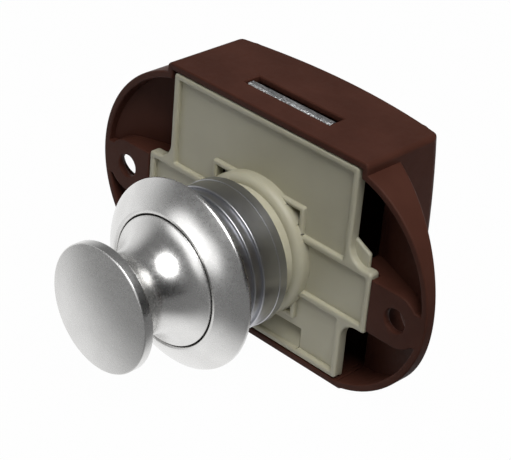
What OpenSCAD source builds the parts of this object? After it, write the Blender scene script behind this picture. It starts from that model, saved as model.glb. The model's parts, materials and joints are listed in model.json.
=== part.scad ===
// Push lock for a cabinet or caravan door, knob out and bolt drawn in.
// Millimetres. The origin lies midway between the screw holes, on the face that meets the door.
// -Y points out through the door to the user, +Y into the cabinet, +Z up towards the bolt.

/* [Housing] */
// Width of the box between the ears
box_w = 43.2; // [40:0.2:48]
// Top of the box above the screw line
box_above = 22.6; // [21.5:0.1:26]
// Bottom of the box below the screw line
box_below = 17.4; // [16.5:0.1:21]
// Depth of the box at the four corners of its back
box_side_depth = 16; // [15.5:0.1:20]
// How much further back the middle of the back lies than its upright edges
back_bow = 2.4; // [1.8:0.1:4]
// How much further back the back lies half-way up than along its top and bottom
back_belly = 1.4; // [0.8:0.1:2]
// Thickness of the moulded walls
wall = 1.2; // [0.9:0.1:1.6]
// Rounding of the box along its long edges
box_edge_r = 0.9; // [0.4:0.1:1.5]
// Rounding of the upright edges at the back
back_edge_r = 1.6; // [1:0.1:2.5]

/* [Ears and screws] */
// Radius of each ear's round rim
ear_r = 19.7; // [18.5:0.1:21]
// Centre of the ear's rim from the middle of the lock
ear_x = 16.2; // [15:0.1:17.5]
// Centre of the ear's rim above the screw line
ear_lift = 1.9; // [0:0.1:3]
// Depth of the ear where it leaves the box
ear_root_depth = 7.4; // [7:0.1:9]
// Depth of the ear at its tip
ear_tip_depth = 1.9; // [1.4:0.1:2.5]
// Distance between the two screw holes
screw_spacing = 60; // [58:0.5:62]
// Diameter of a screw hole
screw_hole_d = 3.9; // [3:0.1:4.5]
// Diameter of the round end of a screw boss
boss_d = 9.3; // [8.8:0.1:9.6]
// Diameter of the recess behind a screw hole
boss_recess_d = 7.3; // [6.6:0.1:7.6]
// Thickness of the boss's face, in front of that recess
boss_face_t = 1.2; // [1:0.1:1.6]

/* [Cover plate] */
// Width of the tall part of the plate
plate_w = 39.8; // [38:0.1:40.4]
// Width of the plate across its wings
wing_w = 49.2; // [47:0.2:50]
// Height of the wings
wing_h = 10.7; // [9.5:0.1:12]
// Radius of the hollow corners between wing and plate
wing_fillet_r = 3; // [1.5:0.1:3.5]
// Thickness of the plate
plate_t = 2; // [1.8:0.1:2.1]
// Width of the raised rim and of the ribs
rim_w = 1.1; // [0.8:0.1:1.5]
// Height of the raised rim over the panel
rim_h = 0.8; // [0.4:0.1:1]
// Width of the square frame behind the collar
square_w = 20.1; // [19.6:0.1:21]
// Width of the ramped pocket below the collar
pocket_w = 22.4; // [18:0.2:26]

/* [Collar and neck] */
// Depth of the knob's axis below the screw line
axis_drop = 0.6; // [0:0.1:1]
// Outside diameter of the collar, which enters the door's hole
collar_d = 23.7; // [23.4:0.1:24.2]
// How far the collar stands out of the mounting face
collar_h = 1.6; // [1.4:0.1:2]
// Outside diameter of the neck
neck_d = 20.8; // [20.4:0.1:21.4]
// Bore of the neck, which guides the plunger
neck_bore_d = 18.4; // [18.2:0.1:19]
// How far the neck stands out of the mounting face
neck_h = 6.2; // [5.4:0.1:6.3]

/* [Rosette] */
// Diameter of the flange
flange_d = 31; // [30:0.1:34]
// Thickness of door between the mounting face and the flange
door_t = 15.5; // [15:0.1:18]
// Height of the flange over the door
flange_h = 3.7; // [3.4:0.1:4]
// Radius of the flange's domed face in section
flange_face_r = 10.2; // [8:0.1:14]
// Outside diameter of the tube
tube_d = 24.2; // [23.8:0.1:24.6]
// Inside diameter of the tube
tube_bore_d = 22; // [21.8:0.1:22.4]
// Length of the tube behind the flange
tube_l = 11.1; // [10:0.1:11.5]
// Length of the smooth end of the tube
smooth_tube_l = 4.7; // [4.2:0.1:5]
// Number of ridges round the tube
ridge_count = 3; // [2:1:3]
// Distance from ridge to ridge
ridge_pitch = 1.95; // [1.7:0.05:2.2]

/* [Knob] */
// Diameter of the knob's disc
knob_d = 20.6; // [19:0.1:21]
// Thickness of the disc's rim
knob_rim_t = 1.65; // [1.2:0.05:2.2]
// Height of the dome on the disc
knob_dome = 0.6; // [0.2:0.1:1.2]
// Height of the knob over the rosette when it is out
knob_h = 13.25; // [12.5:0.05:14]
// Diameter of the foot that fills the rosette
knob_foot_d = 21; // [20.6:0.1:21.2]
// Smallest diameter of the hollow neck
knob_neck_d = 13.6; // [12:0.1:16]

/* [Plunger and bolt] */
// How far the knob is pushed in
push_travel = 11; // [9:0.1:11]
// How far the bolt comes out
bolt_throw = 7.7; // [6:0.1:7.7]
// Width of the plunger's bar
bar_w = 11; // [10:0.1:11]
// Height of the plunger's bar
bar_h = 14; // [13.4:0.1:14]
// Width of the bolt
bolt_w = 17.8; // [16:0.1:18.6]
// Thickness of the bolt
bolt_t = 2; // [1.6:0.1:2.4]
// Rounding of the bolt's upper edges
bolt_round_r = 0.7; // [0.3:0.1:0.8]
// Front of the bolt behind the mounting face
bolt_y = 5.1; // [5:0.05:5.4]
// How far the drawn-in bolt lies below the top of the box
bolt_sink = 0.25; // [0.1:0.05:1]
// Outside width of the bolt's fork
fork_w = 19; // [18.6:0.1:20]
// Diameter of the fork's drive pins
pin_d = 2.2; // [1.8:0.1:2.3]

/* [Spring and follower] */
// Outside diameter of the return spring
spring_d = 4.6; // [4:0.1:4.7]
// Wire of the return spring
spring_wire_d = 0.6; // [0.4:0.05:0.7]
// Turns of the return spring
spring_turns = 12; // [8:1:14]
// Wire of the heart-track follower
follower_d = 1; // [0.8:0.05:1.1]

/* [Fits] */
// Gap between pieces that slide
slide_gap = 0.2; // [0.15:0.05:0.3]
// Gap between pieces that are pushed together
seat_gap = 0.1; // [0.05:0.05:0.15]

/* [Hidden] */
$fn = 96;
eps = 0.01;
far = 60;

brown = [0.33, 0.22, 0.16];
cream = [0.80, 0.77, 0.68];
chrome = [0.75, 0.76, 0.78];
zinc = [0.62, 0.62, 0.63];

// Box: its back is one arc across and one arc up and down, both through the deepest point
box_half_w = box_w / 2;
box_half_h = (box_above + box_below) / 2;
box_middle_z = (box_above - box_below) / 2;
box_depth = box_side_depth + back_bow + back_belly;
bow_r = (box_half_w * box_half_w + back_bow * back_bow) / (2 * back_bow);
belly_r = (box_half_h * box_half_h + back_belly * back_belly) / (2 * back_belly);
front_room = 3;
inner_back_y = box_depth - wall;
inner_top = box_above - wall;
inner_bottom = wall - box_below;

// Ears
ear_slope = (ear_root_depth - ear_tip_depth) / (ear_x + ear_r - box_half_w);
boss_r = boss_d / 2;
boss_web_h = 6;
screw_x = screw_spacing / 2;

// Cover plate
plate_top = inner_top - seat_gap;
plate_bottom = inner_bottom + seat_gap;
plate_edge_r = 0.6;
base_t = 0.8;
tab_inset = 1.6;
tab_shoulder = 2.25;
tab_side = wing_w / 2 - tab_inset;
tab_top = wing_h / 2 + tab_shoulder;
tab_chamfer_h = 1.55;
square_wall = 0.9;
pocket_gap = 1.6;
pocket_top = -square_w / 2 - pocket_gap;
pocket_h = 3.4;
pocket_depth = 1.9;
pocket_wall = 0.8;
pocket_back = rim_h + pocket_depth + pocket_wall;
collar_round_r = 1.3;

// Rosette, measured outwards from the mounting face
tube_end = door_t - tube_l;
flange_front = door_t + flange_h;
flange_edge_t = 0.35;
lip_w = 0.7;
lip_r = knob_foot_d / 2 + slide_gap;
// The flange's face is one arc from the lip's edge down to the flange's edge
face_w = flange_d / 2 - lip_r - lip_w;
face_h = flange_h - flange_edge_t;
face_chord = norm([face_w, face_h]);
face_sink = sqrt(flange_face_r * flange_face_r - face_chord * face_chord / 4);
face_centre_r = (flange_d - face_w) / 2 - face_sink * face_h / face_chord;
face_centre_out = flange_front - face_h / 2 - face_sink * face_w / face_chord;
groove_depth = 0.35;
ridge_h = 0.1;
ridge_w = 0.45;
first_ridge = tube_end + smooth_tube_l;
tube_step = 0.08;
tube_step_l = 1.6;

// Knob, measured outwards from the mounting face
foot_front = flange_front;
disc_front = flange_front + knob_h;
disc_back = disc_front - knob_dome - knob_rim_t;
knob_foot_l = 1.8;
foot_back = foot_front - knob_foot_l;
knob_dome_r = (knob_d * knob_d / 4 + knob_dome * knob_dome) / (2 * knob_dome);
// The hollow neck is one arc from the foot's edge through the waist
waist_out = (foot_front + disc_back) / 2;
waist_half_l = (disc_back - foot_front) / 2;
waist_rise = knob_foot_d / 2 - knob_neck_d / 2;
waist_arc_r = (waist_half_l * waist_half_l + waist_rise * waist_rise) / (2 * waist_rise);
knob_cavity_r = 7.6;
knob_cavity_l = 3.4;
knob_boss_r = 3.2;
screw_shank_r = 1.2;
screw_shank_gap = 0.05;
screw_l = 12.4;
screw_head_h = 2;

// Plunger, measured outwards from the mounting face
piston_r = neck_bore_d / 2 - slide_gap;
piston_gap = 1;
piston_back = push_travel + piston_gap;
bar_end_gap = 1.2;
bar_end_y = inner_back_y - bar_end_gap - push_travel;
spring_gap = 0.3;
spring_bore_r = spring_d / 2 + spring_gap;
screw_head_r = spring_bore_r - 0.2;
spring_bore_out = piston_back;

// Bolt: pins in slanted grooves turn the push into the throw
pin_y = plate_t + slide_gap + seat_gap + pin_d / 2;
pin_z = -bolt_throw / 2;
groove_slope = bolt_throw / push_travel;
groove_angle = atan(groove_slope);
groove_r = pin_d / 2 + slide_gap;
groove_in = 1.5;
fork_y = plate_t + slide_gap + seat_gap;
fork_back_y = bolt_y + bolt_t;
leg_gap = 0.3;
leg_in = bar_w / 2 + leg_gap;
fork_top = 12;
fork_under = bar_h / 2 + leg_gap + seat_gap;
leg_past_pin = 2.4;
leg_bottom = pin_z - leg_past_pin;
slot_gap_side = 0.25;
slot_gap_front = 0.25;
slot_gap_back = 1.1;

// Rails that guide the fork
rail_in = fork_w / 2 + slide_gap;
rail_t = 1.2;
rail_ledge = 1.4;
rail_top = 19.4;
rail_bottom = -10;

// Return spring, from the screw head to its seat on the back wall
spring_r = (spring_d - spring_wire_d) / 2;
spring_front_y = screw_head_h - spring_bore_out;
spigot_r = spring_r - spring_wire_d / 2 - slide_gap;
spigot_h = 2;
spring_seat_r = spring_d / 2 + 0.4;
spring_seat_h = 0.4;
spring_back_y = inner_back_y - spring_seat_h;
spring_sides = 6;
spring_steps = 16;

// Heart-track follower
follower_r = follower_d / 2;
follower_l = 9;
follower_in = 1.4;
follower_drop = 2.2;
follower_tip_y = bar_end_y - follower_in;
follower_pivot_y = follower_tip_y + follower_l;
follower_z = -bar_h / 2 - follower_drop;
track_depth = 1.4;
track_w = 3.2;
heart_w = 5.6;
heart_l = 9;
heart_in = 4.9;
heart_y = bar_end_y - heart_in;
island_r = 0.75;
island_in = 5.6;
island_y = heart_y - island_in;
island_l = 3.6;
pivot_boss_r = 2.2;
pivot_clear = 1.6;
pivot_boss_h = follower_z - pivot_clear - axis_drop - inner_bottom;
pivot_gap = 0.06;

// Extrudes a front-view outline between two depths
module slab(front_y, back_y) {
    translate([0, back_y, 0]) rotate([90, 0, 0]) linear_extrude(back_y - front_y) children();
}

// Extrudes a plan-view outline between two heights
module upright(bottom_z, top_z) {
    translate([0, 0, bottom_z]) linear_extrude(top_z - bottom_z) children();
}

// Extrudes a side-view outline, drawn in depth and height, between two widths
module sideways(left_x, right_x) {
    translate([left_x, 0, 0]) rotate([90, 0, 90]) linear_extrude(right_x - left_x) children();
}

// Turns a profile, drawn in radius and distance out of the mounting face, about the knob's axis
module turned() {
    on_axis() rotate([90, 0, 0]) rotate_extrude() children();
}

module on_axis() {
    translate([0, 0, -axis_drop]) children();
}

module both_sides() {
    children();
    mirror([1, 0, 0]) children();
}

module span(x0, y0, x1, y1) {
    translate([x0, y0]) square([x1 - x0, y1 - y0]);
}

module rounded_span(x0, y0, x1, y1, r) {
    span(x0 + r, y0, x1 - r, y1);
    span(x0, y0 + r, x1, y1 - r);
    for (x = [x0 + r, x1 - r], y = [y0 + r, y1 - r]) translate([x, y]) circle(r);
}

// What a fillet leaves of a square corner that opens towards +X and +Y
module hollow_corner(r) {
    difference() {
        translate([-eps, -eps]) square(r + eps);
        translate([r, r]) circle(r);
    }
}

// Plan of the box with its bowed back, drawn in by a wall
module box_plan(inset, edge_r) {
    half_w = box_half_w - inset;
    arc_r = bow_r - inset;
    arc_y = box_depth - bow_r;
    corner_y = arc_y + sqrt(arc_r * arc_r - half_w * half_w);
    round_x = half_w - edge_r;
    round_y = arc_y + sqrt(pow(arc_r - edge_r, 2) - round_x * round_x);
    meet = arc_r / (arc_r - edge_r);
    difference() {
        intersection() {
            span(-half_w, -front_room, half_w, box_depth);
            translate([0, arc_y]) circle(arc_r, $fn = 360);
        }
        both_sides() difference() {
            polygon([[round_x, round_y], [half_w, round_y], [half_w + 1, corner_y + 1],
                     [round_x * meet, arc_y + (round_y - arc_y) * meet]]);
            translate([round_x, round_y]) circle(edge_r);
        }
    }
}

// That plan, swung about a far axis across the lock, which makes its back belly out half-way up
module barrel(inset, edge_r) {
    translate([0, box_depth - belly_r, box_middle_z]) rotate([0, 90, 0]) rotate_extrude($fn = 360)
        translate([belly_r - box_depth, 0]) rotate(-90) box_plan(inset, edge_r);
}

module box_outer() {
    intersection() {
        slab(0, box_depth + 1) rounded_span(-box_half_w, -box_below, box_half_w, box_above, box_edge_r);
        barrel(0, back_edge_r);
    }
}

module box_inside() {
    intersection() {
        upright(inner_bottom, inner_top) span(-box_half_w, -front_room, box_half_w, box_depth);
        barrel(wall, back_edge_r - wall / 2);
    }
}

// One ear on the right: a round rim whose back slopes towards its tip
module ear(rim_inset, floor_inset, front_y, root_x) {
    tip_x = ear_x + ear_r;
    intersection() {
        slab(front_y, ear_root_depth) translate([ear_x, ear_lift]) circle(ear_r - rim_inset);
        upright(-far, far) polygon([[root_x, front_y], [tip_x + 1, front_y],
                                    [tip_x + 1, ear_tip_depth - ear_slope - floor_inset],
                                    [box_half_w, ear_root_depth - floor_inset],
                                    [root_x, ear_root_depth - floor_inset]]);
    }
}

// Screw boss: a bar with a round end, webbed to the rim and stepped down under the plate's wing
module screw_boss() {
    wing_edge = wing_w / 2 + seat_gap;
    intersection() {
        ear(eps, eps, 0, box_half_w - wall);
        union() {
            slab(0, ear_root_depth) {
                span(wing_edge, -boss_r, screw_x, boss_r);
                translate([screw_x, 0]) circle(boss_r);
                span(screw_x, -boss_web_h / 2, ear_x + ear_r, boss_web_h / 2);
            }
            slab(plate_t + seat_gap, ear_root_depth) span(box_half_w - wall, -boss_r, wing_edge + 1, boss_r);
        }
    }
}

module bolt_rail() {
    intersection() {
        box_outer();
        union() {
            upright(rail_bottom, rail_top) span(rail_in, plate_t + seat_gap, rail_in + rail_t, box_depth);
            upright(rail_bottom, rail_top)
                span(rail_in - rail_ledge, fork_back_y + slide_gap, rail_in + rail_t, box_depth);
        }
    }
}

module housing() {
    slot_half_w = bolt_w / 2 + slot_gap_side;
    color(brown) difference() {
        union() {
            difference() {
                union() {
                    box_outer();
                    both_sides() ear(0, 0, 0, box_half_w - wall);
                }
                box_inside();
                both_sides() ear(wall, wall, -1, box_half_w - wall - 1);
                upright(inner_top - 1, box_above + 1)
                    span(-slot_half_w, bolt_y - slot_gap_front, slot_half_w, bolt_y + bolt_t + slot_gap_back);
            }
            both_sides() screw_boss();
            both_sides() bolt_rail();
            turned() {
                span(0, -inner_back_y - wall / 2, spring_seat_r, -spring_back_y);
                span(0, -inner_back_y - wall / 2, spigot_r, spigot_h - spring_back_y);
            }
            translate([0, follower_pivot_y, inner_bottom - wall / 2])
                cylinder(r = pivot_boss_r, h = pivot_boss_h + wall / 2);
        }
        both_sides() {
            slab(-1, ear_root_depth + 1) translate([screw_x, 0]) circle(d = screw_hole_d);
            slab(boss_face_t, ear_root_depth + 1) translate([screw_x, 0]) circle(d = boss_recess_d);
        }
        translate([0, follower_pivot_y, inner_bottom])
            cylinder(r = follower_r + pivot_gap, h = pivot_boss_h + 1);
    }
}

// Cross-shaped outline of the plate's front, with hollow corners beside the wings
module plate_outline() {
    rounded_span(-plate_w / 2, plate_bottom, plate_w / 2, plate_top, plate_edge_r);
    rounded_span(-wing_w / 2, -wing_h / 2, wing_w / 2, wing_h / 2, plate_edge_r);
    both_sides() {
        translate([plate_w / 2, wing_h / 2]) hollow_corner(wing_fillet_r);
        translate([plate_w / 2, -wing_h / 2]) mirror([0, 1]) hollow_corner(wing_fillet_r);
    }
}

// Outline of the thinner layer behind it, with one sloped tab over the right wing
module plate_base_outline() {
    span(-plate_w / 2, plate_bottom, plate_w / 2, plate_top);
    polygon([[0, 0], [tab_side, 0], [tab_side, tab_top], [plate_w / 2, tab_top + tab_chamfer_h],
             [0, tab_top + tab_chamfer_h]]);
}

// The three sunk panels between the rim and the two ribs
module plate_panels() {
    panel_half_w = plate_w / 2 - rim_w;
    wing_half_w = wing_w / 2 - rim_w;
    wing_half_h = wing_h / 2 - rim_w;
    rounded_span(-panel_half_w, wing_h / 2, panel_half_w, plate_top - rim_w, plate_edge_r / 2);
    rounded_span(-wing_half_w, -wing_half_h, wing_half_w, wing_half_h, plate_edge_r / 2);
    rounded_span(-panel_half_w, plate_bottom + rim_w, panel_half_w, -wing_h / 2, plate_edge_r / 2);
}

module collar_profile() {
    collar_r = collar_d / 2;
    span(neck_bore_d / 2, -plate_t, collar_r, collar_h - collar_round_r);
    span(neck_bore_d / 2, -plate_t, collar_r - collar_round_r, collar_h);
    translate([collar_r - collar_round_r, collar_h - collar_round_r]) circle(collar_round_r);
    span(neck_bore_d / 2, -plate_t, neck_d / 2, neck_h);
}

module cover_plate() {
    square_in = square_w / 2 - square_wall;
    color(cream) difference() {
        union() {
            difference() {
                union() {
                    slab(0, plate_t) plate_outline();
                    slab(plate_t - base_t, plate_t) plate_base_outline();
                }
                slab(-1, rim_h) plate_panels();
            }
            slab(0, plate_t) difference() {
                square(square_w, center = true);
                square(2 * square_in, center = true);
            }
            turned() collar_profile();
            sideways(-pocket_w / 2 - pocket_wall, pocket_w / 2 + pocket_wall)
                polygon([[rim_h, pocket_top + pocket_wall], [pocket_back, pocket_top + pocket_wall],
                         [pocket_back, pocket_top], [plate_t, pocket_top - pocket_h],
                         [rim_h, pocket_top - pocket_h]]);
        }
        slab(-1, plate_t + 1) difference() {
            span(-square_in, 0, square_in, square_in);
            translate([0, -axis_drop]) circle(d = collar_d - eps);
        }
        turned() span(0, -plate_t - 1, neck_bore_d / 2, neck_h + 1);
        sideways(-pocket_w / 2, pocket_w / 2)
            polygon([[-1, pocket_top], [rim_h + pocket_depth, pocket_top], [rim_h, pocket_top - pocket_h],
                     [-1, pocket_top - pocket_h]]);
    }
}

module rosette_profile() {
    tube_r = tube_d / 2;
    difference() {
        union() {
            span(0, tube_end, tube_r, first_ridge);
            span(0, tube_end, tube_r + tube_step, tube_end + tube_step_l);
            span(0, first_ridge, tube_r - groove_depth, door_t + flange_edge_t);
            for (i = [0 : ridge_count - 1])
                translate([0, first_ridge + i * ridge_pitch]) square([tube_r + ridge_h, ridge_w]);
            intersection() {
                translate([face_centre_r, face_centre_out]) circle(flange_face_r, $fn = 360);
                span(0, door_t, flange_d / 2, flange_front);
            }
        }
        span(-1, tube_end - 1, lip_r, flange_front + 1);
        span(-1, tube_end - 1, tube_bore_d / 2, door_t);
    }
}

module rosette() {
    color(chrome) turned() rosette_profile();
}

module knob_profile() {
    knob_r = knob_d / 2;
    foot_r = knob_foot_d / 2;
    difference() {
        union() {
            intersection() {
                span(0, disc_back, knob_r, disc_front);
                translate([0, disc_front - knob_dome_r]) circle(knob_dome_r, $fn = 360);
            }
            difference() {
                span(0, foot_back, foot_r, disc_back);
                translate([knob_neck_d / 2 + waist_arc_r, waist_out]) circle(waist_arc_r);
                span(knob_r, foot_front + waist_half_l, foot_r + 1, disc_front);
            }
        }
        span(knob_boss_r, foot_back - 1, knob_cavity_r, foot_back + knob_cavity_l);
        span(-1, foot_back - 1, screw_shank_r + screw_shank_gap, foot_back + screw_l);
    }
}

module knob() {
    color(chrome) turned() knob_profile();
}

// Slanted groove in the right side of the bar, open at the bar's inner end
module drive_groove() {
    run = push_travel / cos(groove_angle);
    translate([bar_w / 2 - groove_in, pin_y, pin_z]) rotate([-groove_angle, 0, 0]) {
        translate([0, -run, -groove_r]) cube([groove_in + 1, run + 2 * pin_d + 1, 2 * groove_r]);
        translate([0, -run, 0]) rotate([0, 90, 0]) cylinder(r = groove_r, h = groove_in + 1);
    }
}

// Heart-shaped track under the bar: a straight way in, a wide pocket and the island that holds the follower
module heart_track() {
    translate([0, 0, -bar_h / 2 - 1]) linear_extrude(track_depth + 1) difference() {
        union() {
            span(-track_w / 2, heart_y - 1, track_w / 2, bar_end_y + 1);
            rounded_span(-heart_w / 2, heart_y - heart_l, heart_w / 2, heart_y, 1);
        }
        polygon([[-2 * island_r, island_y], [0, island_y + island_l], [2 * island_r, island_y],
                 [island_r, island_y - island_r], [0, island_y], [-island_r, island_y - island_r]]);
        both_sides() translate([island_r, island_y]) circle(island_r, $fn = 32);
    }
}

module plunger() {
    color(cream) on_axis() difference() {
        union() {
            slab(-foot_back, -piston_back) circle(piston_r);
            intersection() {
                slab(-piston_back - eps, bar_end_y) square([bar_w, bar_h], center = true);
                slab(-piston_back - 1, bar_end_y + 1) circle(piston_r);
            }
        }
        both_sides() drive_groove();
        heart_track();
        slab(-spring_bore_out, bar_end_y + 1) circle(spring_bore_r);
        slab(-foot_back - 1, 0) circle(screw_shank_r + 6 * screw_shank_gap);
    }
}

module knob_screw() {
    color(zinc) turned() {
        span(0, spring_bore_out - screw_head_h, screw_head_r, spring_bore_out);
        span(0, spring_bore_out - eps, screw_shank_r, spring_bore_out + screw_l + 4);
    }
}

module latch_bolt() {
    color(zinc) {
        sideways(-bolt_w / 2, bolt_w / 2)
            rounded_span(bolt_y, fork_under, fork_back_y, box_above - bolt_sink, bolt_round_r);
        on_axis() {
            slab(fork_y, fork_back_y) {
                span(-fork_w / 2, fork_under, fork_w / 2, fork_top);
                both_sides() span(leg_in, leg_bottom, fork_w / 2, fork_under + eps);
            }
            both_sides() translate([bar_w / 2 - groove_in + slide_gap, pin_y, pin_z]) rotate([0, 90, 0])
                cylinder(d = pin_d, h = leg_in + 1 - bar_w / 2 + groove_in);
        }
    }
}

// Centre line of the coil: one closed turn at each end, even pitch between
spring_l = spring_back_y - spring_front_y - spring_wire_d - 2 * seat_gap;
function coil_at(turn) =
    turn < 1 ? turn * spring_wire_d
    : turn > spring_turns - 1 ? spring_l - (spring_turns - turn) * spring_wire_d
    : spring_wire_d + (turn - 1) * (spring_l - 2 * spring_wire_d) / (spring_turns - 2);
function coil_point(turn, around) =
    let (r = spring_r + spring_wire_d / 2 * cos(around))
    [r * cos(360 * turn), coil_at(turn) + spring_wire_d / 2 * sin(around), r * sin(360 * turn)];

module return_spring() {
    rings = spring_turns * spring_steps;
    points = [for (i = [0 : rings], k = [0 : spring_sides - 1])
              coil_point(i / spring_steps, 360 * k / spring_sides)];
    faces = concat(
        [[for (k = [0 : spring_sides - 1]) k]],
        [for (i = [0 : rings - 1], k = [0 : spring_sides - 1])
            let (a = i * spring_sides + k, b = i * spring_sides + (k + 1) % spring_sides)
            [a, a + spring_sides, b + spring_sides, b]],
        [[for (k = [spring_sides - 1 : -1 : 0]) rings * spring_sides + k]]);
    color(zinc) on_axis() translate([0, spring_front_y + spring_wire_d / 2 + seat_gap, 0])
        polyhedron(points, faces);
}

module follower_wire() {
    tip_h = follower_drop + track_depth - spring_gap;
    foot_h = follower_z - axis_drop - inner_bottom - seat_gap;
    color(zinc) on_axis() {
        translate([0, follower_tip_y, follower_z]) cylinder(r = follower_r, h = tip_h);
        translate([0, follower_tip_y, follower_z]) sphere(follower_r);
        translate([0, follower_pivot_y, follower_z]) rotate([90, 0, 0])
            cylinder(r = follower_r, h = follower_pivot_y - follower_tip_y);
        translate([0, follower_pivot_y, follower_z]) sphere(follower_r);
        translate([0, follower_pivot_y, follower_z - foot_h]) cylinder(r = follower_r, h = foot_h);
    }
}

housing();
cover_plate();
rosette();
knob();
plunger();
knob_screw();
latch_bolt();
return_spring();
follower_wire();
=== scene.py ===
import json
import math

import bmesh
import bpy
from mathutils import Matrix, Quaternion, Vector

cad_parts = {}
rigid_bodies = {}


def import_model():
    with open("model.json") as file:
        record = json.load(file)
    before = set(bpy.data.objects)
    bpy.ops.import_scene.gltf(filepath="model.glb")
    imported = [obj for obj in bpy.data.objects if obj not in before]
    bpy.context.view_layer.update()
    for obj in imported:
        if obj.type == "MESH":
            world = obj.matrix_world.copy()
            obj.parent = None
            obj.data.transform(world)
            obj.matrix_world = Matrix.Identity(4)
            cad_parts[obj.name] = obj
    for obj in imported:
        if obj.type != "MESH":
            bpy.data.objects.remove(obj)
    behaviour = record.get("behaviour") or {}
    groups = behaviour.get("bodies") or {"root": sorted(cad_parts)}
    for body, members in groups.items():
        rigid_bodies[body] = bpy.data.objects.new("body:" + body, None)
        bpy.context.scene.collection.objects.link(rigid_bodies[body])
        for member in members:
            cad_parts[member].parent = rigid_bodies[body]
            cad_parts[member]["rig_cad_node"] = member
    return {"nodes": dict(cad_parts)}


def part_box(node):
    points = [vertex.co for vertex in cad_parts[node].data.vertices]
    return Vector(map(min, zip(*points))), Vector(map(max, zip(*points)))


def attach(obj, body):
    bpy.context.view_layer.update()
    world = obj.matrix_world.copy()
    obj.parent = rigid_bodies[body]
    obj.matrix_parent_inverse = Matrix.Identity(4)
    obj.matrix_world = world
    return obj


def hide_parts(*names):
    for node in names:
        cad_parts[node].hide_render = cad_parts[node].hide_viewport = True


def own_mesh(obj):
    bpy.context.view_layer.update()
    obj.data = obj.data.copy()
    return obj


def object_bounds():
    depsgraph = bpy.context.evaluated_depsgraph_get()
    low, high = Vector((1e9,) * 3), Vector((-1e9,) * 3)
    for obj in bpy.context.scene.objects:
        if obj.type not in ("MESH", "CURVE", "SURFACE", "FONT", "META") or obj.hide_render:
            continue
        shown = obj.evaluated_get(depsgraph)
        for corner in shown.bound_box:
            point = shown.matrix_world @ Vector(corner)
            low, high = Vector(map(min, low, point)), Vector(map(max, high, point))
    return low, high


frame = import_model()
cad_low, cad_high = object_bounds()


# Housing: the case that screws to the inside of the door and holds the lock work.
# Reddish-brown ABS, injection moulded in one piece with thin walls and two open ears.
# Its edges keep the small rounding that the mould leaves on them.

mm = 0.001
join_gap = 0.001 * mm
housing_edge = 0.28 * mm
edge_segments = 3
sharp_edge = math.radians(40)
flat_within = math.radians(0.5)
smooth_within = math.radians(35)
colour_span = (0.35, 0.65)
roughness_span = (0.3, 0.7)
brown_dark = (0.061, 0.0215, 0.014, 1)
brown_light = (0.074, 0.0265, 0.0175, 1)


def joined_copy(node_name, piece_name):
    """A copy of a CAD node with its loose triangles joined up."""
    bpy.ops.object.select_all(action="DESELECT")
    node = frame["nodes"][node_name]
    node.select_set(True)
    bpy.context.view_layer.objects.active = node
    bpy.ops.object.duplicate()
    piece = bpy.context.object
    piece.name = piece_name
    del piece["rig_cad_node"]
    piece.data.materials.clear()
    bpy.ops.object.mode_set(mode="EDIT")
    bpy.ops.mesh.select_all(action="SELECT")
    bpy.ops.mesh.remove_doubles(threshold=join_gap)
    bpy.ops.mesh.customdata_custom_splitnormals_clear()
    bpy.ops.object.mode_set(mode="OBJECT")
    return piece


def moulded_copy(node_name, piece_name, edge_radius):
    """A joined copy of a CAD node with its outer edges rounded."""
    piece = joined_copy(node_name, piece_name)
    bpy.ops.object.mode_set(mode="EDIT")
    bpy.ops.mesh.select_all(action="SELECT")
    bpy.ops.mesh.dissolve_limited(angle_limit=flat_within)
    bpy.ops.mesh.vert_connect_concave()
    bpy.ops.mesh.select_all(action="DESELECT")
    bpy.ops.mesh.select_mode(type="EDGE")
    mesh = bmesh.from_edit_mesh(piece.data)
    for edge in mesh.edges:
        if edge.is_convex and edge.calc_face_angle(0) > sharp_edge:
            edge.select_set(True)
    bmesh.update_edit_mesh(piece.data)
    bpy.ops.mesh.bevel(offset=edge_radius, segments=edge_segments, affect="EDGES", clamp_overlap=False,
                       loop_slide=False)
    bpy.ops.object.mode_set(mode="OBJECT")
    bpy.ops.object.shade_smooth_by_angle(angle=smooth_within)
    flat_faces = piece.modifiers.new("flat_faces", "WEIGHTED_NORMAL")
    flat_faces.keep_sharp = True
    bpy.ops.object.modifier_apply(modifier=flat_faces.name)
    return piece


def plain_finish(name, **sockets):
    """A new material whose shader sockets hold the finish's fixed values."""
    material = bpy.data.materials.new(name)
    material.use_nodes = True
    shader = material.node_tree.nodes["Principled BSDF"]
    for socket, value in sockets.items():
        shader.inputs[socket.replace("_", " ")].default_value = value
    return material


def noise(material, scale, detail=2.0, stretch=(1, 1, 1)):
    """A noise pattern in the piece's own frame; scale counts its cells in a metre."""
    nodes, links = material.node_tree.nodes, material.node_tree.links
    place = nodes.new("ShaderNodeTexCoord")
    fitted = nodes.new("ShaderNodeMapping")
    fitted.inputs["Scale"].default_value = stretch
    pattern = nodes.new("ShaderNodeTexNoise")
    pattern.inputs["Scale"].default_value = scale
    pattern.inputs["Detail"].default_value = detail
    links.new(place.outputs["Object"], fitted.inputs["Vector"])
    links.new(fitted.outputs["Vector"], pattern.inputs["Vector"])
    return pattern.outputs["Fac"]


def vary_colour(material, pattern, dark, light):
    """Lets a pattern move the base colour between two near shades."""
    nodes, links = material.node_tree.nodes, material.node_tree.links
    ramp = nodes.new("ShaderNodeValToRGB")
    for stop, position, colour in zip(ramp.color_ramp.elements, colour_span, (dark, light)):
        stop.position = position
        stop.color = colour
    links.new(pattern, ramp.inputs["Fac"])
    links.new(ramp.outputs["Color"], nodes["Principled BSDF"].inputs["Base Color"])


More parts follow.
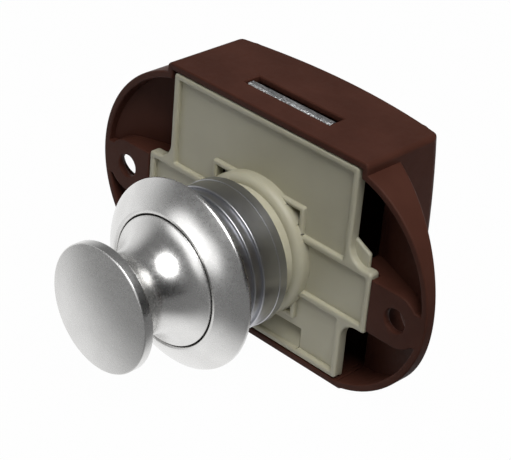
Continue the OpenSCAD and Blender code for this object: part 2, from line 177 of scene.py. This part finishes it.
def vary_roughness(material, pattern, smooth, rough):
    """Lets a pattern move the roughness between two values."""
    nodes, links = material.node_tree.nodes, material.node_tree.links
    spread = nodes.new("ShaderNodeMapRange")
    spread.inputs["From Min"].default_value, spread.inputs["From Max"].default_value = roughness_span
    spread.inputs["To Min"].default_value = smooth
    spread.inputs["To Max"].default_value = rough
    links.new(pattern, spread.inputs["Value"])
    links.new(spread.outputs["Result"], nodes["Principled BSDF"].inputs["Roughness"])


def raise_grain(material, pattern, height, strength):
    """Lets a pattern raise the surface's grain."""
    nodes, links = material.node_tree.nodes, material.node_tree.links
    bump = nodes.new("ShaderNodeBump")
    bump.inputs["Distance"].default_value = height
    bump.inputs["Strength"].default_value = strength
    links.new(pattern, bump.inputs["Height"])
    links.new(bump.outputs["Normal"], nodes["Principled BSDF"].inputs["Normal"])


def dress(piece, material):
    """Gives every face of a piece one material."""
    piece.data.materials.clear()
    piece.data.materials.append(material)


brown_plastic = plain_finish("brown_plastic", Specular_IOR_Level=0.07)
vary_colour(brown_plastic, noise(brown_plastic, 140), brown_dark, brown_light)
vary_roughness(brown_plastic, noise(brown_plastic, 900), 0.42, 0.54)
raise_grain(brown_plastic, noise(brown_plastic, 4500, 3), 0.03 * mm, 0.35)

housing = moulded_copy("housing", "housing_moulding", housing_edge)
dress(housing, brown_plastic)
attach(housing, "case")
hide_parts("housing")


# Lock work inside the housing: the return spring and the follower wire.
# Drawn spring steel, dark and bright by turns along the wire; they hide behind the plate.

coil_smooth = math.radians(50)
steel_dark = (0.32, 0.32, 0.32, 1)
steel_light = (0.45, 0.45, 0.44, 1)

spring_steel = plain_finish("spring_steel", Metallic=1.0)
vary_colour(spring_steel, noise(spring_steel, 1500), steel_dark, steel_light)
vary_roughness(spring_steel, noise(spring_steel, 2500), 0.28, 0.40)
dress(frame["nodes"]["follower_wire"], spring_steel)

return_spring = joined_copy("return_spring", "return_spring_coil")
bpy.ops.object.shade_smooth_by_angle(angle=coil_smooth)
dress(return_spring, spring_steel)
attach(return_spring, "case")
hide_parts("return_spring")
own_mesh(return_spring)


# Latch bolt: the fork and tongue that rise out of the slot in the top of the housing.
# Zinc die casting with a grainy as-cast skin; it slides between the housing's rails.

bolt_edge = 0.15 * mm
zinc_dark = (0.46, 0.47, 0.48, 1)
zinc_light = (0.78, 0.79, 0.80, 1)

zinc_skin = plain_finish("zinc_skin", Metallic=1.0)
vary_colour(zinc_skin, noise(zinc_skin, 700, 4, (0.35, 1, 1)), zinc_dark, zinc_light)
vary_roughness(zinc_skin, noise(zinc_skin, 1800, 3), 0.24, 0.40)
raise_grain(zinc_skin, noise(zinc_skin, 2000, 4), 0.35 * mm, 1.0)

latch_bolt = moulded_copy("latch_bolt", "latch_bolt_casting", bolt_edge)
dress(latch_bolt, zinc_skin)
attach(latch_bolt, "bolt")
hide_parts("latch_bolt")


# Cover plate: closes the housing and carries the collar that centres the lock in the door's hole.
# Greyish ivory nylon, injection moulded, a little translucent where it is thin.
# It snaps in flush with the rim of the housing.

plate_edge = 0.36 * mm
ivory_dark = (0.50, 0.475, 0.355, 1)
ivory_light = (0.54, 0.515, 0.390, 1)

ivory_plastic = plain_finish("ivory_plastic", Subsurface_Weight=0.25, Subsurface_Scale=0.6 * mm,
                             Subsurface_Radius=(1.0, 0.9, 0.7), Specular_IOR_Level=0.5)
vary_colour(ivory_plastic, noise(ivory_plastic, 90), ivory_dark, ivory_light)
vary_roughness(ivory_plastic, noise(ivory_plastic, 700), 0.36, 0.46)
raise_grain(ivory_plastic, noise(ivory_plastic, 3000, 3), 0.02 * mm, 0.25)

cover_plate = moulded_copy("cover_plate", "cover_plate_moulding", plate_edge)
dress(cover_plate, ivory_plastic)
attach(cover_plate, "case")
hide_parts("cover_plate")


# Plunger and its screw: the pusher behind the knob, drawn up to it by one screw.
# The plunger is the plate's ivory nylon; the screw is zinc-plated steel.

plated_dark = (0.50, 0.50, 0.47, 1)
plated_light = (0.60, 0.60, 0.58, 1)

plated_steel = plain_finish("plated_steel", Metallic=1.0)
vary_colour(plated_steel, noise(plated_steel, 1200), plated_dark, plated_light)
vary_roughness(plated_steel, noise(plated_steel, 2200), 0.22, 0.34)
dress(frame["nodes"]["knob_screw"], plated_steel)
dress(frame["nodes"]["plunger"], ivory_plastic)


# Rosette: the ring on the outside of the door, with the tube that passes through it.
# Zinc casting, turned and plated in satin chrome; the tube is painted darker and bluer, painted shade for the dark
# reflections it shows.
# The tube clamps over the plate's neck.

rosette_low, rosette_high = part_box("rosette")
flange_r = (rosette_high.x - rosette_low.x) / 2
axis_z = (rosette_high.z + rosette_low.z) / 2
lip_front = -rosette_low.y
tube_end = -rosette_high.y
lathe_steps = 160
lathe_smooth = math.radians(20)


def turn_on_lathe(name, section):
    """Spins a section, given as radius and distance out of the mounting face, round the knob's axis."""
    def at(point):
        return Vector((point[0], -point[1], axis_z))

    bpy.ops.object.select_all(action="DESELECT")
    bpy.ops.mesh.primitive_plane_add(size=mm, location=at(section[0]))
    piece = bpy.context.object
    piece.name = name
    bpy.ops.object.transform_apply(location=True)
    bpy.ops.object.mode_set(mode="EDIT")
    bpy.ops.mesh.select_mode(type="VERT")
    bpy.ops.mesh.select_all(action="SELECT")
    bpy.ops.mesh.merge(type="CENTER")
    for here, there in zip(section, section[1:]):
        bpy.ops.mesh.extrude_vertices_move(TRANSFORM_OT_translate={"value": at(there) - at(here)})
    bpy.ops.mesh.select_all(action="SELECT")
    bpy.ops.mesh.spin(steps=lathe_steps, angle=2 * math.pi, center=(0, 0, axis_z), axis=(0, 1, 0))
    bpy.ops.mesh.select_all(action="SELECT")
    bpy.ops.mesh.remove_doubles(threshold=join_gap)
    bpy.ops.mesh.normals_make_consistent(inside=False)
    bpy.ops.object.mode_set(mode="OBJECT")
    bpy.ops.object.shade_smooth_by_angle(angle=lathe_smooth)
    return piece


def arc(centre, radius, start, end, steps):
    """Points along a round stretch of a section, from one angle to another in degrees."""
    angles = [math.radians(start + (end - start) * i / steps) for i in range(steps + 1)]
    return [(centre[0] + radius * math.cos(a), centre[1] + radius * math.sin(a)) for a in angles]


def bow(start, end, radius, steps):
    """Points along the arc of a radius from one point of a section to another, bulging to the right of the way."""
    start, end = Vector(start), Vector(end)
    chord = end - start
    sink = math.sqrt(radius ** 2 - chord.length_squared / 4)
    centre = (start + end) / 2 + Vector((-chord.y, chord.x)).normalized() * sink
    from_angle, to_angle = (math.degrees(math.atan2(p.y - centre.y, p.x - centre.x)) for p in (start, end))
    return arc(centre, radius, from_angle, to_angle, steps)


tube_r = 12.1 * mm
tube_bore_r = 11.0 * mm
lip_r = 10.7 * mm
lip_w = 0.7 * mm
lip_round = 0.45 * mm
flange_back = 15.5 * mm
flange_edge_t = 0.35 * mm
flange_edge = 0.12 * mm
shoulder_r = 0.6 * mm
shoulder_end = 43
face_r = 13.75 * mm
face_steps = 30
round_steps = 8
edge_steps = 6
step_end = tube_end + 1.6 * mm
step_h = 0.08 * mm
end_chamfer = 0.15 * mm
groove_r = tube_r - 0.35 * mm
first_ridge = tube_end + 4.7 * mm
ridge_pitch = 1.95 * mm
ridge_r = 0.225 * mm
ridge_top = tube_r + 0.1 * mm
ridge_count = 3
ridge_steps = 12

rosette_section = [(tube_bore_r, tube_end), (tube_r + step_h - end_chamfer, tube_end),
                   (tube_r + step_h, tube_end + end_chamfer), (tube_r + step_h, step_end),
                   (tube_r, step_end + step_h), (tube_r, first_ridge)]
for i in range(ridge_count):
    ridge_at = first_ridge + ridge_r + i * ridge_pitch
    crown = (ridge_top - ridge_r, ridge_at)
    if i:
        rosette_section.append((groove_r, ridge_at - ridge_r))
    rosette_section += arc(crown, ridge_r, -90, 90, ridge_steps)
    rosette_section.append((groove_r, ridge_at + ridge_r))
rosette_section += [(groove_r, flange_back)]
rosette_section += arc((flange_r - flange_edge, flange_back + flange_edge), flange_edge, -90, 0, edge_steps)
rosette_section += arc((flange_r - shoulder_r, flange_back + flange_edge_t), shoulder_r, 0, shoulder_end, round_steps)
rosette_section += bow(rosette_section.pop(), (lip_r + lip_w, lip_front), face_r, face_steps)
rosette_section += arc((lip_r + lip_round, lip_front - lip_round), lip_round, 90, 180, round_steps)
rosette_section += [(lip_r, flange_back), (tube_bore_r, flange_back), (tube_bore_r, tube_end)]

chrome_dark = (0.715, 0.710, 0.700, 1)
chrome_light = (0.755, 0.750, 0.740, 1)
# Painted shade: the tube's colour is darker and bluer than the flange's, standing in for the darker reflections on
# the tube and taking out the ivory plate's reflected tint.
tube_painted_shade_dark = (0.43, 0.435, 0.460, 1)
tube_painted_shade_light = (0.47, 0.475, 0.500, 1)
painted_shade_tube_end = flange_back - 0.01 * mm

satin_chrome = plain_finish("satin_chrome", Metallic=1.0)
vary_colour(satin_chrome, noise(satin_chrome, 250), chrome_dark, chrome_light)
vary_roughness(satin_chrome, noise(satin_chrome, 1400, 3), 0.25, 0.30)
raise_grain(satin_chrome, noise(satin_chrome, 5000, 2), 0.0008 * mm, 0.6)

tube_painted_shade = plain_finish("tube_painted_shade", Metallic=1.0)
vary_colour(tube_painted_shade, noise(tube_painted_shade, 250), tube_painted_shade_dark, tube_painted_shade_light)
vary_roughness(tube_painted_shade, noise(tube_painted_shade, 1400, 3), 0.28, 0.34)
raise_grain(tube_painted_shade, noise(tube_painted_shade, 5000, 2), 0.0006 * mm, 0.6)

rosette = turn_on_lathe("rosette_turning", rosette_section)
dress(rosette, satin_chrome)
rosette.data.materials.append(tube_painted_shade)
# Faces nearer the plate than the flange's back get the tube's painted shade.
for face in rosette.data.polygons:
    face.material_index = int(-face.center.y < painted_shade_tube_end)
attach(rosette, "case")
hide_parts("rosette")


# Knob: the button that is pushed in to lock, and springs out to be pulled.
# Zinc casting plated in the same satin chrome; a flared neck joins its foot to a domed disc.

foot_back = -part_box("knob")[1].y
foot_r = 10.5 * mm
foot_front = 19.2 * mm
disc_r = 10.3 * mm
disc_crest = 32.45 * mm
disc_dome = 0.6 * mm
disc_rim_t = 1.65 * mm
rim_edge = 0.18 * mm
rim_start = 80
neck_inset = 0.3 * mm
neck_steps = 24
dome_steps = 20
cavity_r = 7.6 * mm
cavity_l = 3.4 * mm

disc_edge = disc_crest - disc_dome
dome_r = (disc_r ** 2 + disc_dome ** 2) / (2 * disc_dome)
dome_half = math.degrees(math.asin((disc_r - rim_edge) / dome_r))
disc_back = disc_edge - disc_rim_t

waist_r = 6.8 * mm
waist_out = 25.0 * mm
neck_low = (foot_r - rim_edge, foot_front)
neck_high = (disc_r - neck_inset, disc_back)


def hollow(corner):
    """The hollow of the neck, from its waist to a corner of the foot or of the disc."""
    rise, run = corner[0] - waist_r, abs(corner[1] - waist_out)
    radius = (rise ** 2 + run ** 2) / (2 * rise)
    turn = math.degrees(math.asin(run / radius))
    end = 180 + math.copysign(turn, waist_out - corner[1])
    return arc((waist_r + radius, waist_out), radius, 180, end, neck_steps)


knob_section = [(0, disc_crest)]
knob_section += arc((0, disc_crest - dome_r), dome_r, 90, 90 - dome_half, dome_steps)[1:]
knob_section += arc((disc_r - rim_edge, disc_edge - rim_edge), rim_edge, rim_start, 0, edge_steps)
knob_section += arc((disc_r - rim_edge, disc_back + rim_edge), rim_edge, 0, -90, edge_steps)
knob_section += hollow(neck_high)[::-1]
knob_section += hollow(neck_low)[1:]
knob_section += arc((foot_r - rim_edge, foot_front - rim_edge), rim_edge, rim_start, 0, edge_steps)
knob_section += [(foot_r, foot_back), (cavity_r, foot_back), (cavity_r, foot_back + cavity_l),
                 (0, foot_back + cavity_l)]

knob = turn_on_lathe("knob_turning", knob_section)
dress(knob, satin_chrome)
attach(knob, "push_knob")
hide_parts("knob")


# Floor: a pale sheet of paper that the lock stands on.
# It is white to the camera and to the chrome, and keeps the lock's shadow.

floor_size = 4.0
floor_grey = (0.42, 0.42, 0.42, 1)
white_share = 0.985


def seen_rays(nodes, links):
    """One for rays from the camera, off a gloss or through a clear piece; nought for the rest."""
    path = nodes.new("ShaderNodeLightPath")
    glossy = nodes.new("ShaderNodeMath")
    glossy.operation = "MAXIMUM"
    links.new(path.outputs["Is Camera Ray"], glossy.inputs[0])
    links.new(path.outputs["Is Glossy Ray"], glossy.inputs[1])
    clear = nodes.new("ShaderNodeMath")
    clear.operation = "MAXIMUM"
    links.new(glossy.outputs[0], clear.inputs[0])
    links.new(path.outputs["Is Transmission Ray"], clear.inputs[1])
    return clear.outputs[0]


bpy.ops.object.select_all(action="DESELECT")
bpy.ops.mesh.primitive_plane_add(size=floor_size, location=(0, 0, cad_low.z))
floor = bpy.context.object
floor.name = "floor"
bpy.ops.object.transform_apply(location=True)
pale_sheet = plain_finish("pale_sheet", Base_Color=floor_grey, Roughness=0.9, Specular_IOR_Level=0.1)
sheet_nodes, sheet_links = pale_sheet.node_tree.nodes, pale_sheet.node_tree.links
glow = sheet_nodes.new("ShaderNodeEmission")
blend = sheet_nodes.new("ShaderNodeMixShader")
share = sheet_nodes.new("ShaderNodeMath")
share.operation = "MULTIPLY"
share.inputs[1].default_value = white_share
sheet_links.new(seen_rays(sheet_nodes, sheet_links), share.inputs[0])
sheet_links.new(share.outputs[0], blend.inputs[0])
sheet_links.new(sheet_nodes["Principled BSDF"].outputs[0], blend.inputs[1])
sheet_links.new(glow.outputs[0], blend.inputs[2])
sheet_links.new(blend.outputs[0], sheet_nodes["Material Output"].inputs["Surface"])
dress(floor, pale_sheet)


# Studio: a large soft lamp overhead and a weak one behind, inside a glowing grey tent that only the gloss shows.
# The tent is no lamp but a painted reflection: light on the left, a painted window in front made of two patches, and
# painted shade on the right.
# A card, also for the gloss only, lies on the floor in front and on the right; it glows white near the lock and fades
# to grey further off, a painted reflection of shade on the floor.

def direction(azimuth, elevation):
    """Unit vector towards an angle round the lock, nought in front of the knob, and up from level."""
    a, e = math.radians(azimuth), math.radians(elevation)
    return Vector((math.sin(a) * math.cos(e), -math.cos(a) * math.cos(e), math.sin(e)))


def soft_lamp(name, azimuth, elevation, distance, size, power, in_gloss):
    """A round lamp at an angle and a distance, turned to the lock."""
    lamp = bpy.data.lights.new(name, "AREA")
    lamp.shape = "DISK"
    lamp.size = size
    lamp.energy = power
    stand = bpy.data.objects.new(name, lamp)
    towards = direction(azimuth, elevation)
    stand.location = towards * distance
    stand.rotation_euler = towards.to_track_quat("Z", "Y").to_euler()
    stand.visible_camera = False
    stand.visible_glossy = in_gloss
    bpy.context.scene.collection.objects.link(stand)


soft_lamp("key_lamp", azimuth=62, elevation=66, distance=0.50, size=0.425, power=2.40, in_gloss=True)
soft_lamp("back_lamp", azimuth=200, elevation=8, distance=0.60, size=0.40, power=1.30, in_gloss=False)


def glowing(name):
    """A new material that only glows; its strength is left to be linked."""
    material = bpy.data.materials.new(name)
    material.use_nodes = True
    nodes, links = material.node_tree.nodes, material.node_tree.links
    nodes.remove(nodes["Principled BSDF"])
    glow = nodes.new("ShaderNodeEmission")
    links.new(glow.outputs[0], nodes["Material Output"].inputs["Surface"])
    return material, glow


def along(material, heading, low, high, low_level, high_level, unit):
    """A level that changes softly along a heading, by distance or, with unit set, by angle from it."""
    nodes, links = material.node_tree.nodes, material.node_tree.links
    place = nodes.new("ShaderNodeTexCoord")
    reach = nodes.new("ShaderNodeVectorMath")
    reach.operation = "DOT_PRODUCT"
    reach.inputs[1].default_value = heading
    if unit:
        shorten = nodes.new("ShaderNodeVectorMath")
        shorten.operation = "NORMALIZE"
        links.new(place.outputs["Object"], shorten.inputs[0])
        links.new(shorten.outputs["Vector"], reach.inputs[0])
    else:
        links.new(place.outputs["Object"], reach.inputs[0])
    change = nodes.new("ShaderNodeMapRange")
    change.interpolation_type = "SMOOTHSTEP"
    change.inputs["From Min"].default_value = low
    change.inputs["From Max"].default_value = high
    change.inputs["To Min"].default_value = low_level
    change.inputs["To Max"].default_value = high_level
    links.new(reach.outputs["Value"], change.inputs["Value"])
    return change.outputs["Result"]


def for_gloss_only(sheet):
    """Leaves a stage piece to the gloss alone: no camera, diffuse or shadow ray meets it."""
    sheet.visible_camera = False
    sheet.visible_diffuse = False
    sheet.visible_shadow = False


# Painted reflection: the tent is a glowing sphere, seen only in the gloss, with a grey glow all round, light patches
# on the left and in front as a painted window, and a painted dark patch on the right.
tent_radius = 0.9
painted_reflection_grey = 0.16
painted_reflection_patches = {"left": (-90, -14, 10, 62, 0.70), "painted_window_left": (-19, 14, 9, 20, 1.5),
               "painted_window_right": (3, 9, 9, 20, 1.5), "painted_dark_corner": (110, 0, 30, 62, -0.14)}
bpy.ops.object.select_all(action="DESELECT")
bpy.ops.mesh.primitive_uv_sphere_add(segments=48, ring_count=24, radius=tent_radius)
tent = bpy.context.object
tent.name = "tent"
painted_reflection_tent, tent_glow = glowing("painted_reflection_tent")
tent_nodes, tent_links = painted_reflection_tent.node_tree.nodes, painted_reflection_tent.node_tree.links
tent_sum = None
for azimuth, elevation, core, edge, strength in painted_reflection_patches.values():
    patch = along(painted_reflection_tent, direction(azimuth, elevation), math.cos(math.radians(edge)),
                  math.cos(math.radians(core)), 0.0, strength, True)
    add = tent_nodes.new("ShaderNodeMath")
    add.inputs[1].default_value = painted_reflection_grey
    tent_links.new(patch, add.inputs[0])
    if tent_sum:
        tent_links.new(tent_sum, add.inputs[1])
    tent_sum = add.outputs[0]
tent_links.new(tent_sum, tent_glow.inputs["Strength"])
dress(tent, painted_reflection_tent)
for_gloss_only(tent)

# Painted shade in the gloss: the card glows white near the lock and fades to a dim grey in front and on the right, so
# the chrome shows the floor shaded there.
card_lift = 0.2 * mm
card_size = 1.0
card_x, card_y = 0.25, -0.20
card_near_glow = 1.0
front_heading, front_start, front_end, front_level = (0.39, -0.92, 0), 26 * mm, 48 * mm, 0.24
right_heading, right_start, right_end, right_level = (0.97, -0.26, 0), 14 * mm, 36 * mm, 0.20
bpy.ops.object.select_all(action="DESELECT")
bpy.ops.mesh.primitive_plane_add(size=card_size, location=(card_x, card_y, cad_low.z + card_lift))
card = bpy.context.object
card.name = "painted_shade_card"
bpy.ops.object.transform_apply(location=True)
painted_floor_shade, card_glow = glowing("painted_floor_shade")
card_links = painted_floor_shade.node_tree.links
darker = painted_floor_shade.node_tree.nodes.new("ShaderNodeMath")
darker.operation = "MINIMUM"
front_fade = along(painted_floor_shade, front_heading, front_start, front_end, card_near_glow, front_level, False)
right_fade = along(painted_floor_shade, right_heading, right_start, right_end, card_near_glow, right_level, False)
card_links.new(front_fade, darker.inputs[0])
card_links.new(right_fade, darker.inputs[1])
card_links.new(darker.outputs[0], card_glow.inputs["Strength"])
dress(card, painted_floor_shade)
for_gloss_only(card)

world = bpy.data.worlds.new("studio")
world.use_nodes = True
bpy.context.scene.world = world
world_nodes, world_links = world.node_tree.nodes, world.node_tree.links
fill_level = 0.04
white_level = 1.0
backdrop = world_nodes.new("ShaderNodeMapRange")
backdrop.inputs["To Min"].default_value = fill_level
backdrop.inputs["To Max"].default_value = white_level
world_links.new(seen_rays(world_nodes, world_links), backdrop.inputs["Value"])
world_links.new(backdrop.outputs["Result"], world_nodes["Background"].inputs["Strength"])
world_nodes["Background"].inputs["Color"].default_value = (1, 1, 1, 1)
bpy.context.scene.view_settings.view_transform = "Standard"


# Camera: at the photograph's angle and distance, with a long lens.
# It is turned a little about its own axis, as the photograph is.

view_azimuth, view_elevation, view_roll = 42.63, 30.22, 5.13
view_target = Vector((-0.201, 0.774, 1.212)) * mm
view_distance = 284.02 * mm
lens_length, sensor_width = 126.56, 36.0

camera_data = bpy.data.cameras.new("camera")
camera_data.lens = lens_length
camera_data.sensor_width = sensor_width
camera_data.sensor_fit = "HORIZONTAL"
camera_data.clip_start = 0.01
camera = bpy.data.objects.new("camera", camera_data)
bpy.context.scene.collection.objects.link(camera)
back_to_camera = direction(view_azimuth, view_elevation)
camera.location = view_target + back_to_camera * view_distance
level_turn = back_to_camera.to_track_quat("Z", "Y")
camera.rotation_euler = (level_turn @ Quaternion((0, 0, 1), math.radians(view_roll))).to_euler()
bpy.context.scene.camera = camera
